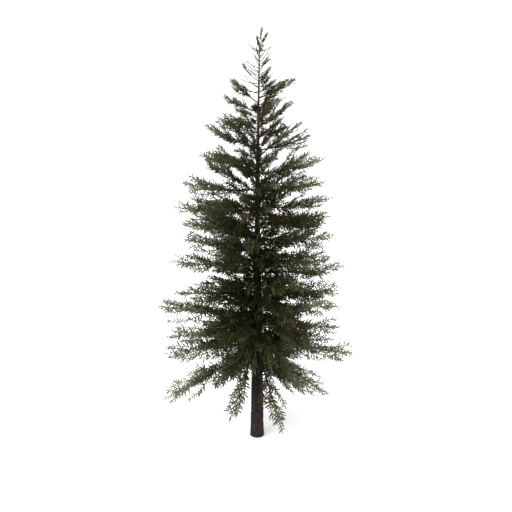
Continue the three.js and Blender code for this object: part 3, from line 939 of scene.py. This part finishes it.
def bark_material(name, colours, scale, bump):
    """Bark in one set of colours at the ground, a second one under the crown and a third high up; on the
    trunk the second is painted shade, the crown's shadow.
    """
    material, tree, shader = new_material(name, colours[1][1], BARK_ROUGHNESS, BARK_SPECULAR)
    place = tree.nodes.new("ShaderNodeTexCoord")
    grain = bark_grain(tree, place, scale)
    split = tree.nodes.new("ShaderNodeSeparateXYZ")
    tree.links.new(place.outputs["Object"], split.inputs["Vector"])
    colour = bark_ramp(tree, grain, colours[0])
    for (start, end), upper in zip(BARK_CHANGES, colours[1:]):
        height = tree.nodes.new("ShaderNodeMapRange")
        height.inputs["From Min"].default_value = start
        height.inputs["From Max"].default_value = end
        tree.links.new(split.outputs["Z"], height.inputs["Value"])
        colour = colour_mix(tree, height.outputs["Result"], colour, bark_ramp(tree, grain, upper))
    tree.links.new(colour, shader.inputs["Base Color"])
    relief = tree.nodes.new("ShaderNodeBump")
    relief.inputs["Strength"].default_value = bump
    relief.inputs["Distance"].default_value = BUMP_DISTANCE
    tree.links.new(grain.outputs["Fac"], relief.inputs["Height"])
    tree.links.new(relief.outputs["Normal"], shader.inputs["Normal"])
    return material


bark = bark_material("bark", BARK_COLOURS, BARK_GRAIN, BARK_BUMP)
twig_bark = bark_material("twig_bark", TWIG_COLOURS, TWIG_GRAIN, TWIG_BUMP)
TINTS = np.geomspace(DARKEST_TINT, LIGHTEST_TINT, TINT_COUNT)
needles = [new_material(f"needles_{n + 1}", tint, NEEDLE_ROUGHNESS, NEEDLE_SPECULAR)[0]
           for n, tint in enumerate(TINTS)]


def deal(shade):
    """The number of a tint for each shade, from painted shade dark inside the crown to painted light at its
    tips, partly the real lighter young growth.
    """
    step = TINT_COUNT * np.clip(shade + sway(len(shade), SPRIG_TINT_SWAY), 0, 1)
    return np.minimum(step.astype(int), TINT_COUNT - 1)


def add_needles(name, sprigs):
    dealt = np.repeat(deal(sprigs["shade"]), SPRIG_FACES)
    return add_piece(name, *sprig_mesh(sprigs), needles, "needles", dealt)


def add_wood(name, twigs, tube, rough=0.0, end=1.0):
    return add_piece(name, *tube_mesh(twigs, *tube, rough, end), [twig_bark], "twig_bark", smooth=True)


def tier_groups(tier_of_sprig):
    """Runs of tiers whose sprigs make pieces of a limited number of faces."""
    groups, faces = [[]], 0
    for level in range(1, HIGHEST_TIER + 1):
        more = SPRIG_FACES * int((tier_of_sprig == level).sum())
        if groups[-1] and faces + more > PIECE_FACES:
            groups.append([])
            faces = 0
        groups[-1].append(level)
        faces += more
    return groups


# The crown

boughs, bough_names = lay_out_boughs()
hanging = boughs.pick(boughs.spread < 1)
spreading = boughs.pick(boughs.spread == 1).with_more(lay_out_shoots())
all_boughs = spreading.with_more(hanging)
branches = grow_branches(all_boughs)
twigs = grow_twigs(branches)
fronds = upright(grow_fronds(spreading)).with_more(grow_fronds(hanging))
fringe = grow_fringe(branches.with_more(fronds))
leafy_boughs = upright(spreading).with_more(hanging)
sprigs = join([
    grow_sprigs(leafy_boughs, by_tier(leafy_boughs.tier, LEAFY_FROM)),
    grow_sprigs(branches, LEAFY_BRANCH_FROM),
    grow_sprigs(fronds, LEAFY_FROND_FROM),
    grow_sprigs(twigs, LEAFY_TWIG_FROM),
    grow_sprigs(fringe, LEAFY_FRINGE_FROM, FRINGE_SCALE),
])
lowest = sprigs["root"][:, 2] + np.minimum(0, sprigs["lead"][:, 2]) * sprigs["length"]
sprigs = keep(sprigs, lowest > GROUND_CLEARANCE)

for group in tier_groups(sprigs["tier"]):
    own = keep(sprigs, np.isin(sprigs["tier"], group))
    piece = add_needles(f"needles_tiers_{group[0]}_to_{group[-1]}", own)
    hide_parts(*[f"foliage_{n}" for n in bough_names if int(n.split("_")[0]) in group])

trunk = add_piece("trunk_bark", *trunk_mesh(), [bark], "bark", smooth=True)
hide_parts("trunk")
limbs = add_wood("boughs", all_boughs, BOUGH_TUBE, BOUGH_ROUGHNESS, BOUGH_WOOD_TO)
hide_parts(*[f"bough_{n}" for n in bough_names if int(n.split("_")[0]) <= LIMB_TIERS])
add_wood("branches", branches, BRANCH_TUBE)

green = green_ends(all_boughs).with_more(fronds).but(thick=GREEN_RADIUS, thin=GREEN_END_RADIUS)
# The green shoots take the needles' painted shade and painted light from halfway along each
green_shade = green.shade(*each_at(green, 0.5))
green_dealt = deal(np.repeat(green_shade, (GREEN_TUBE[0] - 1) * GREEN_TUBE[1]))
add_piece("green_shoots", *tube_mesh(green, *GREEN_TUBE), needles, "needles", green_dealt, smooth=True)

add_wood("twigs", twigs, TWIG_TUBE)
add_wood("twiglets", fringe, TWIGLET_TUBE)


# The thin top

def grow_top():
    """Bare twigs to the left and right by turns, each side's in fans of three."""
    k = np.arange(TOP_TWIGS)
    share = np.clip((k + 0.5 + sway(TOP_TWIGS, TOP_STEP_SWAY)) / TOP_TWIGS, 0, 1)
    fan = TOP_FAN * (k // 2 % 3 - 1) + sway(TOP_TWIGS, TOP_FAN_SWAY)
    azimuth = np.where(k % 2 == 0, 180, 0) + fan
    climb = blend(TOP_CLIMB_LOW, TOP_CLIMB_HIGH, share) + sway(TOP_TWIGS, TOP_CLIMB_SWAY)
    length = blend(TOP_LENGTH_LOW, TOP_LENGTH_HIGH, share) * varied(TOP_TWIGS, TOP_LENGTH_SWAY)
    lead = length[:, None] * heading(azimuth, climb)
    bend = TOP_BEND * length[:, None] * UP
    return Twigs(root=trunk_middle(blend(TOP_FIRST, TOP_LAST, share)), lead=lead, bend=bend,
                 face=upper_face(lead), tier=HIGHEST_TIER, dark=TOP_DARK, light=TOP_LIGHT,
                 thick=TOP_TWIG_RADIUS, thin=TOP_TWIG_END_RADIUS, spread=1.0)


def grow_top_twiglets(top):
    i, k = stations(np.full(len(top), TOP_TWIGLETS))
    share = TOP_TWIGLET_FIRST + TOP_TWIGLET_STEP * k + sway(len(i), TOP_TWIGLET_STEP_SWAY)
    angle = TOP_TWIGLET_ANGLE + sway(len(i), TOP_TWIGLET_ANGLE_SWAY)
    turn, roll = sway(len(i), TOP_TWIGLET_TURN), sway(len(i), TOP_TWIGLET_ROLL)
    length = TOP_TWIGLET_LENGTH_SHARE * top.length[i]
    return branch(top, i, share, alternating(k), angle, turn, roll, length, TOP_TWIGLET_SWEEP,
                  TOP_TWIGLET_END_RADIUS)


def grow_cluster():
    """Shoots that climb more and get shorter from one to the next, turned to the back and front by turns."""
    k = np.arange(CLUSTER_SHOOTS)
    azimuth = np.where(k % 2 == 0, CLUSTER_BACK_TURN, CLUSTER_FRONT_TURN)
    size = (CLUSTER_LENGTH - CLUSTER_SHORTENING * k)[:, None]
    lead = size * heading(azimuth, CLUSTER_CLIMB + CLUSTER_CLIMB_STEP * k)
    bend = CLUSTER_BEND * size * UP
    return Twigs(root=trunk_middle(CLUSTER_LOWEST + CLUSTER_STEP * k), lead=lead, bend=bend,
                 face=upper_face(lead), tier=HIGHEST_TIER, dark=CLUSTER_DARK, light=CLUSTER_LIGHT,
                 thick=CLUSTER_RADIUS, thin=CLUSTER_END_RADIUS, spread=1.0)


def leader_twig():
    lead = np.array([LEADER_AIM]) * (TREE_HEIGHT - TRUNK_TOP)
    return Twigs(root=trunk_middle([TRUNK_TOP - LEADER_SINK]), lead=lead, bend=0.0, face=LEADER_FACE,
                 tier=HIGHEST_TIER, dark=LEADER_DARK, light=LEADER_LIGHT, thick=TOP_RADIUS,
                 thin=LEADER_END_RADIUS, spread=1.0)


def tip_shoots():
    z, right, up = np.array(TIP_SHOOTS).T
    lead = np.stack([right, np.full(len(z), TIP_FORWARD), up], -1)
    return Twigs(root=trunk_middle(z), lead=lead, bend=0.0, face=TIP_FACE, tier=HIGHEST_TIER, dark=TIP_DARK,
                 light=TIP_LIGHT, thick=TOP_RADIUS, thin=TIP_END_RADIUS, spread=1.0)


top = grow_top()
top_twiglets = grow_top_twiglets(top)
leafy_top = top.pick(np.array(LEAFY_TOP))
cluster = grow_cluster()
cluster_branches = grow_branches(cluster)
leader = leader_twig()
tip = tip_shoots()
leafy_tip = leader.with_more(tip)
top_sprigs = []
for _ in range(LEAFY_TOP_ROUNDS):
    top_sprigs.append(grow_sprigs(upright(leafy_top), LEAFY_TOP_FROM, TOP_SPRIG_SCALE))
for _ in range(LEAFY_TIP_ROUNDS):
    top_sprigs.append(grow_sprigs(leafy_tip, LEAFY_TIP_FROM, TOP_SPRIG_SCALE, TIP_OPENING))
top_sprigs.append(grow_sprigs(upright(cluster), LEAFY_CLUSTER_FROM))
top_sprigs.append(grow_sprigs(cluster_branches, LEAFY_CLUSTER_BRANCH_FROM))
top_needles = add_needles("needles_top", join(top_sprigs))
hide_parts("leader", "top_shoot_left", "top_shoot_right")
add_wood("top_twigs", top.with_more(cluster).with_more(tip), TOP_TUBE)
add_wood("top_twiglets", top_twiglets.with_more(cluster_branches), TOP_TWIGLET_TUBE)
add_wood("leader_shoot", leader, TOP_TUBE)


# Floor, light and camera

def add_floor():
    mesh = bpy.data.meshes.new("floor")
    corners = [(-FLOOR, -FLOOR, 0), (FLOOR, -FLOOR, 0), (FLOOR, FLOOR, 0), (-FLOOR, FLOOR, 0)]
    mesh.from_pydata(corners, [], [(0, 1, 2, 3)])
    mesh.materials.append(new_material("floor", FLOOR_COLOUR, FLOOR_ROUGHNESS, FLOOR_SPECULAR)[0])
    floor = bpy.data.objects.new("floor", mesh)
    bpy.context.scene.collection.objects.link(floor)


def add_light():
    world = bpy.data.worlds.new("studio")
    world.use_nodes = True
    sky = world.node_tree.nodes["Background"]
    sky.inputs["Color"].default_value = (1, 1, 1, 1)
    sky.inputs["Strength"].default_value = SKY_STRENGTH
    bpy.context.scene.world = world
    sun = bpy.data.lights.new("soft_key", "SUN")
    sun.energy = SUN_STRENGTH
    sun.angle = math.radians(SUN_WIDTH)
    key = bpy.data.objects.new("soft_key", sun)
    key.rotation_euler = (math.radians(SUN_TILT), 0, math.radians(SUN_TURN))
    bpy.context.scene.collection.objects.link(key)


def add_camera():
    lens = bpy.data.cameras.new("camera")
    lens.lens = LENS_MM
    lens.sensor_width = SENSOR_MM
    camera = bpy.data.objects.new("camera", lens)
    camera.location = CAMERA_PLACE
    camera.rotation_euler = (math.radians(90 - CAMERA_DOWN), 0, 0)
    bpy.context.scene.collection.objects.link(camera)
    bpy.context.scene.camera = camera
    bpy.context.scene.view_settings.view_transform = "Standard"


add_floor()
add_light()
add_camera()

bpy.context.view_layer.update()
